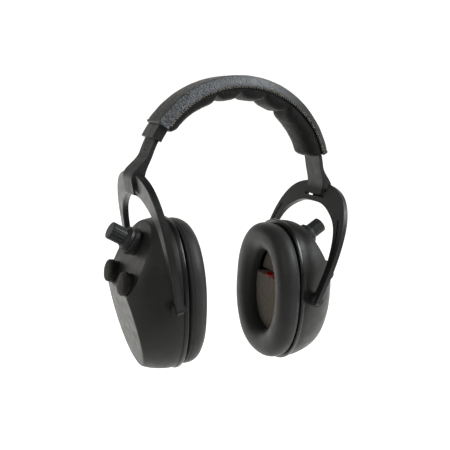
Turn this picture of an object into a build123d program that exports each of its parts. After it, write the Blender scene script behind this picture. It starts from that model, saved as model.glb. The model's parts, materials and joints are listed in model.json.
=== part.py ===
"""Electronic earmuff: two cups in wishbone yokes, on arms that telescope into a padded headband.

Millimetres. X runs from ear to ear, -Y is the wearer's front, +Z is up. The origin is the middle of
the headband's underside, where it rests on the head.
"""
import os
from math import cos, pi, radians, sin, tan

from build123d import *

os.makedirs("parts", exist_ok=True)

SIDES = {"left": -1, "right": 1}

# Headband: every layer is an arc about one centre below the origin.
PAD_INNER_R = 59.8
BAND_CENTRE = (0, -PAD_INNER_R)
PAD_OUTER_R = 64.4
PAD_HALF_WIDTH = 12.4
SLEEVE_R = (64.6, 73.8)
SLEEVE_CAVITY_R = (65.2, 72.8)
SLEEVE_HALF_WIDTH = 13.0
SLEEVE_CAVITY_HALF_WIDTH = 11.4
SLEEVE_FILLET = 1.8
SLEEVE_ENDS = (22.0, 149.6)      # degrees above the +X axis; the sleeve sits a little to the right
SPRING_R = (70.5, 71.5)
SPRING_HALF_WIDTH = 7.5
SPRING_END = 25.0
BLOCK_R = (65.5, 72.4)
BLOCK_HALF_WIDTH = 10.9
BLOCK_ANGLES = (23.0, 42.0)
CHANNEL_GAP = 0.1
RIVET_ANGLES = (34.2, 39.4)
RIVET_R = 1.5
RIVET_HEAD_R = 2.6
RIVET_GAP = 0.05

# Arms
ARM_R = (67.0, 69.8)
ARM_HALF_WIDTH = 9.3
ARM_TOP = 60.0
ARM_FLARE = 15.0
MARK_ANGLES = (20.4, 18.4, 16.4, 14.4)

# Yokes, drawn in their own plane: s runs up from the cup pivots, y along the pivot axis
PIVOT_X = 52.4
PIVOT_Z = -133.6
YOKE_LEAN = 15.5
YOKE_HALF_THICKNESS = 2.1
YOKE_FILLET = 0.9
YOKE_OUTER = [(15.5, 81.0), (29.8, 75.4), (40.9, 61.6), (46, 42), (46.7, 22), (44.9, 0)]
YOKE_INNER = [(39.7, 0), (41, 20), (38.9, 38.9), (32, 54.2), (18, 64.0), (0, 66.8)]
YOKE_TOP = 82.0
LEG_END = -3.6
NOTCH_HALF_WIDTH = 12.4
NOTCH_BOTTOM = 70.6
APEX_HALF_THICKNESS = 1.5
TONGUE_RELIEF_HALF_WIDTH = 9.9
TONGUE_RELIEF_BOTTOM = 68.0
PIN_S = 76.5
PIN_R = 1.0
PIN_HALF_LENGTH = 17.0
TONGUE_N = (2.8, 4.5)
TONGUE_TIP = 68.8
HEEL_S = 72.0                    # the arm's thick heel round the pin
HEEL_N = -4.2
RUNNING_GAP = 0.05
CHANNEL_WIDTH = 2.2
CHANNEL_DEPTH = 0.5

# Cup pivots
PEG_R = 2.0
PEG_FROM = 33.0
LEG_INNER = 39.7
BOSS_R = 5.0
BOSS_FACES = (31.5, 39.0)
EYE_DISC_R = 4.4
EYE_DISC_OUTER = 43.4

# Cups, in the cup's own plane: x along the pivot axis, y up, z outward from the pivot axis
CUP_TILT = {"left": 6.4, "right": -3.8}      # degrees, top outward
CUP_CENTRE_UP = -3.0
OVAL_POWER = 2.3
SHELL_SECTIONS = [
    (-6.4, 36.5, 52.2), (2, 35.8, 51.5), (10, 33.9, 49.4), (18, 30.6, 45.4), (25, 24.4, 38.6), (30, 15.5, 29.5),
]
WALL = 2.2
RIDGE_UP = 4.8
RIDGE_OUT = 26.6
LOWER_FACET_LEAN = -12.4
UPPER_FACET_LEAN = 27.0
FACET_FILLET = 1.6

RING_OUT = (-9.6, -6.5)
RING_HALF = (37.3, 53.0)
RING_OPENING_HALF = (22.0, 35.5)
COLLAR_GAP = 0.3
COLLAR_WALL = 1.6
COLLAR_OUT = -5.2

CUSHION_OUT = (-24.0, -10.0)
CUSHION_HALF = (38.0, 50.6)
CUSHION_HOLE_HALF = (20.0, 31.5)
CUSHION_FILLET = 5.4

LINER_HALF = (19.4, 30.8)
LINER_LOWER_OUT = (-13.6, -5.6)
LINER_UPPER_OUT = (-9.4, -5.0)
LINER_SPLIT = (7.0, 9.2)

# What the cups hold
SPEAKER_UP = 19.0
SPEAKER_R = 14.0
SPEAKER_OUT = (-3.0, 2.0)
MAGNET_R = 7.0
MAGNET_OUT = 4.2
BATTERY_R = 5.25
BATTERY_LENGTH = 43.5
BATTERY_NUB = (1.9, 1.0)
BATTERY_OUT = 5.4
BATTERY_X = 5.6
TRAY_UP = (-45.2, 3.0)
TRAY_HALF_WIDTH = 12.6
TRAY_OUT = (-1.0, 12.2)
TRAY_WALL = 1.1
CONTACT = (8.0, 8.0, 0.4)
BOARD_OUT = 15.0
BOARD_THICKNESS = 1.4
BOARD_SIZE = (33.0, 27.0)
BOARD_UP = 2.0
CHIPS = [(-9, 2, 8, 8, 1.6), (4, 0, 10, 6, 2.0), (11, -8, 5, 7, 3.4), (-8, -9, 6, 4, 2.6)]
POST_R = 2.6
POST_X = 15.6
POST_UP = -14.0
SCREW_R = 1.1
SCREW_HEAD_R = 2.2
SCREW_LENGTH = 6.0

LEAD_R = 0.7
LEAD_ROUTE = [(5.5, -4.4), (5.5, -13.2), (0.5, -15.6), (-4.5, -13.0), (-4.5, -4.4)]    # x, out
LEAD_UP = (LINER_SPLIT[0] + LINER_SPLIT[1]) / 2
LEAD_BEND_R = 2.0

# Microphones and volume control, on the upper facet
MIC_X = 15.8
MIC_FROM_RIDGE = 7.9
MIC_LEAN = 14.0                  # steeper than the facet, so each seat stands on a small boss
MIC_RAISED = 1.9
MIC_SEAT_R = 7.0
MIC_SEAT_DEPTH = 5.0
MIC_RING_R = (3.5, 7.7)
MIC_RING_HEIGHT = 1.2
MIC_CAPSULE_R = 3.0
MIC_CAPSULE = (-3.4, 3.2)
MIC_HOLE_R = 3.3
FOAM_R = 7.6
FOAM_HEIGHT = (1.4, 5.0)
FOAM_FILLET = 1.9
KNOB_FROM_RIDGE = 32.4
KNOB_LEAN = 32.0
SHOULDER_R = 8.4
SHOULDER_HEIGHT = 2.4
NUT = (9.4, 2.5, 6.0)            # radius, base and top above the facet
NUT_TEETH = 50
NUT_TOOTH_R = 0.42
KNOB = (5.8, 10.4, 20.6)
KNOB_COLLAR = (8.2, 6.5, 8.4)    # radius, base and top above the facet
KNOB_NECK_R = (7.4, 6.2)
KNOB_FLUTES = 16
FLUTE_R = 0.5
BUSHING_R = 3.0
BUSHING_TOP = 5.8
BUSHING_HOLE_R = 3.3
SHAFT_R = 2.0
SHAFT_TOP = 15.2
POT_BODY_R = 4.6
POT_BODY = (-8.8, -3.0)


def keep(part, name):
    """Labels a finished piece and writes it."""
    part.label = name
    export_step(part, f"parts/{name}.step")


def arc_face(r_in, r_out, start, end):
    """Face of a curved strip about the band's centre, for a sketch on Plane.XZ."""
    with BuildLine() as outline:
        outer = CenterArc(BAND_CENTRE, r_out, start, end - start)
        inner = CenterArc(BAND_CENTRE, r_in, start, end - start)
        Line(outer @ 0, inner @ 0)
        Line(outer @ 1, inner @ 1)
    make_face(outline.edges())


def side_angles(side, start, end):
    """Band angles measured up from the horizontal on either side."""
    return (start, end) if side > 0 else (180 - end, 180 - start)


def radial_plane(side, angle, radius):
    """Plane facing away from the band's centre."""
    turn = radians(angle)
    out = Vector(side * cos(turn), 0, sin(turn))
    origin = Vector(0, 0, BAND_CENTRE[1]) + out * radius
    return Plane(origin=origin, x_dir=(0, 1, 0), z_dir=out)


def hinge_plane(side, lean):
    """Plane through the cup pivot whose z axis faces outward and whose y axis rises at a lean."""
    turn = radians(lean)
    up = Vector(side * sin(turn), 0, cos(turn))
    out = Vector(side * cos(turn), 0, -sin(turn))
    return Plane(origin=(side * PIVOT_X, 0, PIVOT_Z), x_dir=up.cross(out), z_dir=out)


def yoke_point(side, s, n):
    """X and Z of a point s up the yoke and n outward from its middle plane."""
    turn = radians(YOKE_LEAN)
    return (
        side * (PIVOT_X + s * sin(turn) + n * cos(turn)),
        PIVOT_Z + s * cos(turn) - n * sin(turn),
    )


def facet_plane(cup, lean, from_ridge=0.0, x=0.0, depth=0.0):
    """Plane of a facet: its y axis climbs the facet from the ridge, its z axis faces out of it."""
    turn = radians(lean)
    climb = (0, cos(turn), -sin(turn))
    normal = (0, sin(turn), cos(turn))
    start = (x, RIDGE_UP, RIDGE_OUT)
    local = tuple(a + from_ridge * b + depth * c for a, b, c in zip(start, climb, normal))
    origin = cup.from_local_coords(local)
    return Plane(
        origin=origin,
        x_dir=cup.x_dir,
        z_dir=cup.from_local_coords(tuple(a + b for a, b in zip(local, normal))) - origin,
    )


def seat_plane(cup, lean, from_ridge, x=0.0, raised=0.0):
    """Seat of a control: its middle is over a point of the upper facet, but it leans by its own angle."""
    on_facet = facet_plane(cup, UPPER_FACET_LEAN, from_ridge, x).origin
    facing = facet_plane(cup, lean).z_dir
    return Plane(origin=on_facet + facing * raised, x_dir=cup.x_dir, z_dir=facing)


def mic_seat(cup, sign):
    return seat_plane(cup, MIC_LEAN, MIC_FROM_RIDGE, sign * MIC_X, MIC_RAISED)


def oval(half_width, half_height, steps=24, mode=Mode.ADD):
    """Rounded-rectangular oval about the cup's centre, for a sketch on a cup plane."""
    points = []
    for k in range(steps):
        c, s = cos(2 * pi * k / steps), sin(2 * pi * k / steps)
        x = half_width * abs(c) ** (2 / OVAL_POWER) * (1 if c > 0 else -1)
        y = half_height * abs(s) ** (2 / OVAL_POWER) * (1 if s > 0 else -1)
        points.append((x, CUP_CENTRE_UP + y))
    with BuildLine() as outline:
        Spline(*points, periodic=True)
    make_face(outline.edges(), mode=mode)


def hull(cup, inset):
    """Faceted dome of the cup; the inner one is the outer one brought in by the wall."""
    with BuildPart() as dome:
        for out, half_width, half_height in SHELL_SECTIONS:
            with BuildSketch(cup.offset(out - (0.6 * inset if out > 0 else 0))):
                oval(half_width - inset, half_height - inset)
        loft()
        for lean in (LOWER_FACET_LEAN, UPPER_FACET_LEAN):
            split(bisect_by=facet_plane(cup, lean, depth=-inset), keep=Keep.BOTTOM)
        if inset == 0:
            facets = dome.faces().filter_by(GeomType.PLANE).sort_by(Axis(cup.origin, cup.z_dir))[-2:]
            fillet(facets.edges(), FACET_FILLET)
    return dome.part


def disc(plane, radius, start, end, mode=Mode.ADD):
    """Cylinder along a plane's z axis."""
    with BuildSketch(plane.offset(start)) as section:
        Circle(radius)
    extrude(section.sketch, amount=end - start, mode=mode)


def make_headband():
    with BuildPart() as band_spring:
        with BuildSketch(Plane.XZ):
            arc_face(*SPRING_R, SPRING_END, 180 - SPRING_END)
        extrude(amount=SPRING_HALF_WIDTH, both=True)
        for side in SIDES.values():
            for angle in RIVET_ANGLES:
                disc(radial_plane(side, angle, 0), RIVET_R + RIVET_GAP, SPRING_R[0] - 1, SPRING_R[1] + 1, Mode.SUBTRACT)
    keep(band_spring.part, "band_spring")

    with BuildPart() as sleeve_cover:
        with BuildSketch(Plane.XZ):
            arc_face(*SLEEVE_R, *SLEEVE_ENDS)
        extrude(amount=SLEEVE_HALF_WIDTH, both=True)
        long_edges = sleeve_cover.edges().filter_by(GeomType.CIRCLE).group_by(SortBy.RADIUS)[-1]
        fillet(long_edges, SLEEVE_FILLET)
        with BuildSketch(Plane.XZ):
            arc_face(*SLEEVE_CAVITY_R, SLEEVE_ENDS[0] - 5, SLEEVE_ENDS[1] + 5)
        extrude(amount=SLEEVE_CAVITY_HALF_WIDTH, both=True, mode=Mode.SUBTRACT)
    keep(sleeve_cover.part, "sleeve_cover")

    with BuildPart() as sleeve_padding:
        with BuildSketch(Plane.XZ):
            arc_face(PAD_INNER_R, PAD_OUTER_R, SLEEVE_ENDS[0] + 1, SLEEVE_ENDS[1] - 1)
        extrude(amount=PAD_HALF_WIDTH, both=True)
        fillet(sleeve_padding.edges().filter_by(GeomType.CIRCLE).group_by(SortBy.RADIUS)[0], 2.0)
    keep(sleeve_padding.part, "sleeve_padding")

    with BuildPart() as band_rivets:
        for side in SIDES.values():
            for angle in RIVET_ANGLES:
                out = radial_plane(side, angle, 0)
                disc(out, RIVET_R, ARM_R[1] + 0.4, SPRING_R[1])
                disc(out, RIVET_HEAD_R, SPRING_R[1], BLOCK_R[1] - 0.2)
    keep(band_rivets.part, "band_rivets")


def make_slide_block(name, side):
    with BuildPart() as slide_block:
        with BuildSketch(Plane.XZ):
            arc_face(*BLOCK_R, *side_angles(side, *BLOCK_ANGLES))
        extrude(amount=BLOCK_HALF_WIDTH, both=True)
        long_edges = slide_block.edges().filter_by(GeomType.CIRCLE)
        fillet(long_edges, 0.8)
        past = side_angles(side, BLOCK_ANGLES[0] - 3, BLOCK_ANGLES[1] + 3)
        with BuildSketch(Plane.XZ):
            arc_face(ARM_R[0] - CHANNEL_GAP, ARM_R[1] + CHANNEL_GAP, *past)
        extrude(amount=ARM_HALF_WIDTH + CHANNEL_GAP, both=True, mode=Mode.SUBTRACT)
        with BuildSketch(Plane.XZ):
            arc_face(SPRING_R[0] - 0.05, SPRING_R[1] + 0.05, *side_angles(side, SPRING_END - 0.2, BLOCK_ANGLES[1] + 3))
        extrude(amount=SPRING_HALF_WIDTH + 0.1, both=True, mode=Mode.SUBTRACT)
        for angle in RIVET_ANGLES:
            out = radial_plane(side, angle, 0)
            disc(out, RIVET_R + RIVET_GAP, ARM_R[1], BLOCK_R[1] + 1, Mode.SUBTRACT)
            disc(out, RIVET_HEAD_R + RIVET_GAP, SPRING_R[1], BLOCK_R[1] + 1, Mode.SUBTRACT)
    keep(slide_block.part, f"{name}_slide_block")


def make_arm(name, side):
    low, high = TONGUE_N
    lean, flare = radians(YOKE_LEAN), radians(ARM_FLARE)
    down_band = (side * sin(flare), -cos(flare))
    down_yoke = (-side * sin(lean), -cos(lean))
    start, sweep = (ARM_FLARE, ARM_TOP - ARM_FLARE) if side > 0 else (180 - ARM_FLARE, ARM_FLARE - ARM_TOP)
    with BuildPart() as arm:
        with BuildSketch(Plane.XZ):
            with BuildLine():
                outer = CenterArc(BAND_CENTRE, ARM_R[1], start, sweep)
                inner = CenterArc(BAND_CENTRE, ARM_R[0], start, sweep)
                Line(outer @ 1, inner @ 1)
                flared = Spline(outer @ 0, yoke_point(side, PIN_S + 1, high), tangents=(down_band, down_yoke))
                tongue = Polyline(
                    flared @ 1, yoke_point(side, TONGUE_TIP, high), yoke_point(side, TONGUE_TIP, low),
                    yoke_point(side, HEEL_S, low), yoke_point(side, HEEL_S, HEEL_N),
                    yoke_point(side, PIN_S - 1, HEEL_N),
                )
                Spline(inner @ 0, tongue @ 1, tangents=(down_band, down_yoke))
            make_face()
            with Locations(yoke_point(side, PIN_S, 0)):
                Circle(PIN_R + RUNNING_GAP, mode=Mode.SUBTRACT)
        extrude(amount=ARM_HALF_WIDTH, both=True)
        fillet(arm.edges().filter_by(Axis.Z, tolerance=18).group_by(Axis.Z)[0], 1.5)
        for angle in MARK_ANGLES:
            with BuildSketch(radial_plane(side, angle, ARM_R[1])):
                Rectangle(5.0, 0.7)
            extrude(amount=-0.35, mode=Mode.SUBTRACT)
    keep(arm.part, f"{name}_arm")


def make_yoke(name, side):
    plane = hinge_plane(side, YOKE_LEAN)
    with BuildPart() as yoke:
        with BuildSketch(plane):
            for sign in (-1, 1):
                outer = [(sign * y, s) for y, s in YOKE_OUTER]
                inner = [(sign * y, s) for y, s in YOKE_INNER]
                with BuildLine():
                    top = Line((0, YOKE_TOP), (sign * 6, YOKE_TOP))
                    shoulder = Spline(top @ 1, *outer)
                    end = ThreePointArc(shoulder @ 1, ((outer[-1][0] + inner[0][0]) / 2, LEG_END), inner[0])
                    inside = Spline(*inner, tangents=[(0, 1), (-sign, 0)])
                    Line(inside @ 1, (0, YOKE_TOP))
                make_face()
        extrude(amount=YOKE_HALF_THICKNESS, both=True)
        fillet(yoke.faces().sort_by(Axis(plane.origin, plane.z_dir))[-1].edges(), YOKE_FILLET)
        for sign in (-1, 1):
            centre = [
                (sign * (a[0] + b[0]) / 2, (a[1] + b[1]) / 2)
                for a, b in zip(YOKE_OUTER[2:], reversed(YOKE_INNER[:-2]))
            ]
            with BuildSketch(plane.offset(-YOKE_HALF_THICKNESS)):
                with BuildLine():
                    Spline(*centre[:-1], (sign * 43.2, 9))
                trace(line_width=CHANNEL_WIDTH)
            extrude(amount=CHANNEL_DEPTH, mode=Mode.SUBTRACT)
        pin_axis = Plane(origin=plane.from_local_coords((0, PIN_S, 0)), x_dir=plane.z_dir, z_dir=plane.x_dir)
        notch_height = YOKE_TOP - NOTCH_BOTTOM + 4
        with BuildSketch(plane):
            with Locations((0, NOTCH_BOTTOM + notch_height / 2)):
                Rectangle(2 * NOTCH_HALF_WIDTH, notch_height)
        extrude(amount=2 * YOKE_HALF_THICKNESS, both=True, mode=Mode.SUBTRACT)
        relief_height = NOTCH_BOTTOM - TONGUE_RELIEF_BOTTOM + 1
        with BuildSketch(plane.offset(APEX_HALF_THICKNESS)):
            with Locations((0, TONGUE_RELIEF_BOTTOM + relief_height / 2)):
                Rectangle(2 * TONGUE_RELIEF_HALF_WIDTH, relief_height)
        extrude(amount=YOKE_HALF_THICKNESS, mode=Mode.SUBTRACT)
        disc(pin_axis, PIN_R, -PIN_HALF_LENGTH, PIN_HALF_LENGTH, Mode.SUBTRACT)
        for sign in (-1, 1):
            pivot = Plane(origin=plane.origin, x_dir=plane.z_dir, z_dir=plane.x_dir * sign)
            disc(pivot, EYE_DISC_R, LEG_INNER, EYE_DISC_OUTER)
            disc(pivot, PEG_R, PEG_FROM, LEG_INNER)
    keep(yoke.part, f"{name}_yoke")

    with BuildPart() as yoke_pin:
        disc(pin_axis, PIN_R, -PIN_HALF_LENGTH, PIN_HALF_LENGTH)
    keep(yoke_pin.part, f"{name}_yoke_pin")


def make_shell(name, cup):
    outer = hull(cup, 0)
    cavity = hull(cup, WALL)
    knob = seat_plane(cup, KNOB_LEAN, KNOB_FROM_RIDGE)
    with BuildPart() as outer_shell:
        add(outer)
        disc(knob, SHOULDER_R, -4, SHOULDER_HEIGHT)
        fillet(outer_shell.faces().sort_by(Axis(knob.origin, knob.z_dir))[-1].edges(), 0.8)
        for sign in (-1, 1):
            pivot = Plane(origin=cup.origin, x_dir=cup.z_dir, z_dir=cup.x_dir * sign)
            disc(pivot, BOSS_R, BOSS_FACES[0], BOSS_FACES[1])
            disc(mic_seat(cup, sign), MIC_SEAT_R, -MIC_SEAT_DEPTH, 0)
        add(cavity, mode=Mode.SUBTRACT)
        for sign in (-1, 1):
            pivot = Plane(origin=cup.origin, x_dir=cup.z_dir, z_dir=cup.x_dir * sign)
            disc(pivot, BOSS_R, BOSS_FACES[0], BOSS_FACES[1])
            disc(pivot, PEG_R + RUNNING_GAP, BOSS_FACES[0] - 1, BOSS_FACES[1] + 1, Mode.SUBTRACT)
            disc(mic_seat(cup, sign), MIC_HOLE_R, -9, 3, Mode.SUBTRACT)
            post = Plane(origin=cup.from_local_coords((sign * POST_X, POST_UP, 0)), x_dir=cup.x_dir, z_dir=cup.z_dir)
            disc(post, POST_R, TRAY_OUT[1] + 0.02, 21)
            disc(post, SCREW_R, TRAY_OUT[1] - 1, TRAY_OUT[1] + SCREW_LENGTH, Mode.SUBTRACT)
        disc(knob, BUSHING_HOLE_R, -6, SHOULDER_HEIGHT + 1, Mode.SUBTRACT)
    keep(outer_shell.part, f"{name}_outer_shell")


def make_cushion_side(name, cup):
    low, high = RING_OUT
    with BuildPart() as cushion_plate:
        with BuildSketch(cup.offset(low)):
            oval(*RING_HALF)
        extrude(amount=high - low)
        fillet(cushion_plate.edges(), 0.9)
        fit = WALL + COLLAR_GAP
        collar_half = (SHELL_SECTIONS[0][1] - fit, SHELL_SECTIONS[0][2] - fit)
        with BuildSketch(cup.offset(high)):
            oval(*collar_half)
            oval(collar_half[0] - COLLAR_WALL, collar_half[1] - COLLAR_WALL, mode=Mode.SUBTRACT)
        extrude(amount=COLLAR_OUT - high)
        with BuildSketch(cup.offset(low)):
            oval(*RING_OPENING_HALF)
        extrude(amount=high - low, mode=Mode.SUBTRACT)
    keep(cushion_plate.part, f"{name}_cushion_plate")

    inner, outer = CUSHION_OUT
    with BuildPart() as ear_cushion:
        with BuildSketch(cup.offset(inner)):
            oval(*CUSHION_HALF)
        extrude(amount=outer - inner)
        with BuildSketch(cup.offset(inner)):
            oval(*CUSHION_HOLE_HALF)
        extrude(amount=outer - inner, mode=Mode.SUBTRACT)
        fillet(ear_cushion.faces().sort_by(Axis(cup.origin, cup.z_dir))[0].edges(), CUSHION_FILLET)
    keep(ear_cushion.part, f"{name}_ear_cushion")

    reach = 3 * LINER_HALF[1]
    with BuildPart() as foam_liner:
        for (start, end), split_up, away in ((LINER_LOWER_OUT, LINER_SPLIT[0], 1), (LINER_UPPER_OUT, LINER_SPLIT[1], -1)):
            with BuildSketch(cup.offset(start)):
                oval(*LINER_HALF)
                with Locations((0, split_up + away * reach / 2)):
                    Rectangle(reach, reach, mode=Mode.SUBTRACT)
            extrude(amount=end - start)
    keep(foam_liner.part, f"{name}_foam_liner")

    with BuildPart() as battery_lead:
        with BuildLine() as route:
            FilletPolyline(*[cup.from_local_coords((x, LEAD_UP, out)) for x, out in LEAD_ROUTE], radius=LEAD_BEND_R)
        with BuildSketch(Plane(origin=route.line @ 0, z_dir=route.line % 0)):
            Circle(LEAD_R)
        sweep()
    keep(battery_lead.part, f"{name}_battery_lead")


def make_electronics(name, cup):
    speaker_plane = Plane(origin=cup.from_local_coords((0, SPEAKER_UP, 0)), x_dir=cup.x_dir, z_dir=cup.z_dir)
    with BuildPart() as speaker:
        disc(speaker_plane, SPEAKER_R, SPEAKER_OUT[0], SPEAKER_OUT[1])
        disc(speaker_plane, SPEAKER_R - 1.2, SPEAKER_OUT[0], SPEAKER_OUT[0] + 0.8, Mode.SUBTRACT)
        chamfer(speaker.faces().sort_by(Axis(cup.origin, cup.z_dir))[-1].edges(), 1.5)
        disc(speaker_plane, MAGNET_R, SPEAKER_OUT[1], MAGNET_OUT)
    keep(speaker.part, f"{name}_speaker")

    tray_middle = (TRAY_UP[0] + TRAY_UP[1]) / 2
    tray_height = TRAY_UP[1] - TRAY_UP[0]
    with BuildPart() as battery_tray:
        with BuildSketch(cup.offset(TRAY_OUT[0])):
            with Locations((0, tray_middle)):
                RectangleRounded(2 * TRAY_HALF_WIDTH, tray_height, 2.0)
        extrude(amount=TRAY_OUT[1] - TRAY_OUT[0])
        with BuildSketch(cup.offset(TRAY_OUT[0])):
            with Locations((0, tray_middle)):
                RectangleRounded(2 * (TRAY_HALF_WIDTH - TRAY_WALL), tray_height - 2 * TRAY_WALL, 0.9)
        extrude(amount=TRAY_OUT[1] - TRAY_OUT[0] - TRAY_WALL, mode=Mode.SUBTRACT)
        for sign in (-1, 1):
            with BuildSketch(cup.offset(TRAY_OUT[1] - TRAY_WALL)):
                with Locations((sign * (TRAY_HALF_WIDTH + 2.2), POST_UP)):
                    RectangleRounded(7.0, 6.4, 1.5)
            extrude(amount=TRAY_WALL)
            post = Plane(origin=cup.from_local_coords((sign * POST_X, POST_UP, 0)), x_dir=cup.x_dir, z_dir=cup.z_dir)
            disc(post, SCREW_R + 0.1, TRAY_OUT[1] - 3, TRAY_OUT[1] + 1, Mode.SUBTRACT)
    keep(battery_tray.part, f"{name}_battery_tray")

    with BuildPart() as tray_screws:
        for sign in (-1, 1):
            post = Plane(origin=cup.from_local_coords((sign * POST_X, POST_UP, 0)), x_dir=cup.x_dir, z_dir=cup.z_dir)
            disc(post, SCREW_HEAD_R, TRAY_OUT[1] - TRAY_WALL - 1.4, TRAY_OUT[1] - TRAY_WALL)
            disc(post, SCREW_R - 0.05, TRAY_OUT[1] - TRAY_WALL, TRAY_OUT[1] + SCREW_LENGTH - 0.5)
    keep(tray_screws.part, f"{name}_tray_screws")

    cell_plane = Plane(origin=cup.from_local_coords((0, 0, BATTERY_OUT)), x_dir=cup.x_dir, z_dir=cup.y_dir)
    with BuildPart() as batteries:
        for sign in (-1, 1):
            start = TRAY_UP[0] + TRAY_WALL + CONTACT[2] + 0.4
            cell = Plane(origin=cell_plane.from_local_coords((sign * BATTERY_X, 0, start)), z_dir=cell_plane.z_dir)
            if sign < 0:
                cell = Plane(origin=cell.origin + cell.z_dir * (BATTERY_LENGTH + BATTERY_NUB[1]), z_dir=-cell.z_dir)
            disc(cell, BATTERY_R, 0, BATTERY_LENGTH)
            disc(cell, BATTERY_NUB[0], BATTERY_LENGTH, BATTERY_LENGTH + BATTERY_NUB[1])
    keep(batteries.part, f"{name}_batteries")

    with BuildPart() as battery_contacts:
        for sign in (-1, 1):
            for end in (TRAY_UP[0] + TRAY_WALL + 0.02, TRAY_UP[1] - TRAY_WALL - CONTACT[2] - 0.02):
                with BuildSketch(cell_plane.offset(end)):
                    with Locations((sign * BATTERY_X, 0)):
                        Rectangle(CONTACT[0], CONTACT[1])
                extrude(amount=CONTACT[2])
    keep(battery_contacts.part, f"{name}_battery_contacts")

    with BuildPart() as circuit_board:
        with BuildSketch(cup.offset(BOARD_OUT)):
            with Locations((0, BOARD_UP)):
                RectangleRounded(*BOARD_SIZE, 2.0)
        extrude(amount=BOARD_THICKNESS)
        for x, up, width, height, depth in CHIPS:
            with BuildSketch(cup.offset(BOARD_OUT + BOARD_THICKNESS)):
                with Locations((x, BOARD_UP + up)):
                    Rectangle(width, height)
            extrude(amount=depth)
    keep(circuit_board.part, f"{name}_circuit_board")


def make_controls(name, cup):
    mics = [mic_seat(cup, sign) for sign in (-1, 1)]
    with BuildPart() as mic_rings:
        for mic in mics:
            disc(mic, MIC_RING_R[1], 0.02, MIC_RING_HEIGHT)
            disc(mic, MIC_RING_R[0], 0, MIC_RING_HEIGHT + 1, Mode.SUBTRACT)
    keep(mic_rings.part, f"{name}_mic_rings")

    with BuildPart() as mic_capsules:
        for mic in mics:
            disc(mic, MIC_CAPSULE_R, *MIC_CAPSULE)
    keep(mic_capsules.part, f"{name}_mic_capsules")

    with BuildPart() as mic_foams:
        for mic in mics:
            disc(mic, FOAM_R, *FOAM_HEIGHT)
            tops = mic_foams.faces().sort_by(Axis(mic.origin, mic.z_dir))
        fillet(tops[-2:].edges(), FOAM_FILLET)
        for mic in mics:
            disc(mic, MIC_CAPSULE_R + 0.3, 0, MIC_CAPSULE[1] + 0.3, Mode.SUBTRACT)
    keep(mic_foams.part, f"{name}_mic_foams")

    knob = seat_plane(cup, KNOB_LEAN, KNOB_FROM_RIDGE)
    with BuildPart() as volume_pot:
        disc(knob, POT_BODY_R, *POT_BODY)
        disc(knob, BUSHING_R, POT_BODY[1], BUSHING_TOP)
        disc(knob, SHAFT_R, BUSHING_TOP, SHAFT_TOP)
    keep(volume_pot.part, f"{name}_volume_pot")

    radius, base, top = NUT
    with BuildPart() as knob_nut:
        disc(knob, radius, base, top)
        chamfer(knob_nut.edges(), 0.4)
        with BuildSketch(knob.offset(base)):
            with PolarLocations(radius + 0.1, NUT_TEETH):
                Circle(NUT_TOOTH_R)
        extrude(amount=top - base, mode=Mode.SUBTRACT)
        disc(knob, BUSHING_R + RUNNING_GAP, base, top, Mode.SUBTRACT)
    keep(knob_nut.part, f"{name}_knob_nut")

    radius, start, top = KNOB
    collar_radius, base, collar_top = KNOB_COLLAR
    with BuildPart() as volume_knob:
        disc(knob, radius, start, top)
        fillet(volume_knob.faces().sort_by(Axis(knob.origin, knob.z_dir))[-1].edges(), 0.7)
        with BuildSketch(knob.offset(start + 0.4)):
            with PolarLocations(radius + 0.1, KNOB_FLUTES):
                Circle(FLUTE_R)
        extrude(amount=top - start, mode=Mode.SUBTRACT)
        with BuildSketch(knob.offset(collar_top)):
            Circle(KNOB_NECK_R[0])
        with BuildSketch(knob.offset(start)):
            Circle(KNOB_NECK_R[1])
        loft()
        disc(knob, collar_radius, base, collar_top)
        disc(knob, SHAFT_R + RUNNING_GAP, base - 1, SHAFT_TOP + 0.3, Mode.SUBTRACT)
    keep(volume_knob.part, f"{name}_volume_knob")


make_headband()
for side_name, side_sign in SIDES.items():
    cup_plane = hinge_plane(side_sign, CUP_TILT[side_name])
    make_slide_block(side_name, side_sign)
    make_arm(side_name, side_sign)
    make_yoke(side_name, side_sign)
    make_shell(side_name, cup_plane)
    make_cushion_side(side_name, cup_plane)
    make_electronics(side_name, cup_plane)
    make_controls(side_name, cup_plane)
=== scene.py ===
"""Looks for the electronic earmuff: soft pieces, seams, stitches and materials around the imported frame.

Lengths are in metres and angles round the band in degrees above the +X axis, unless a name says otherwise.
"""

import json
import math

import bmesh
import bpy
from mathutils import Matrix, Vector, noise


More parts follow.
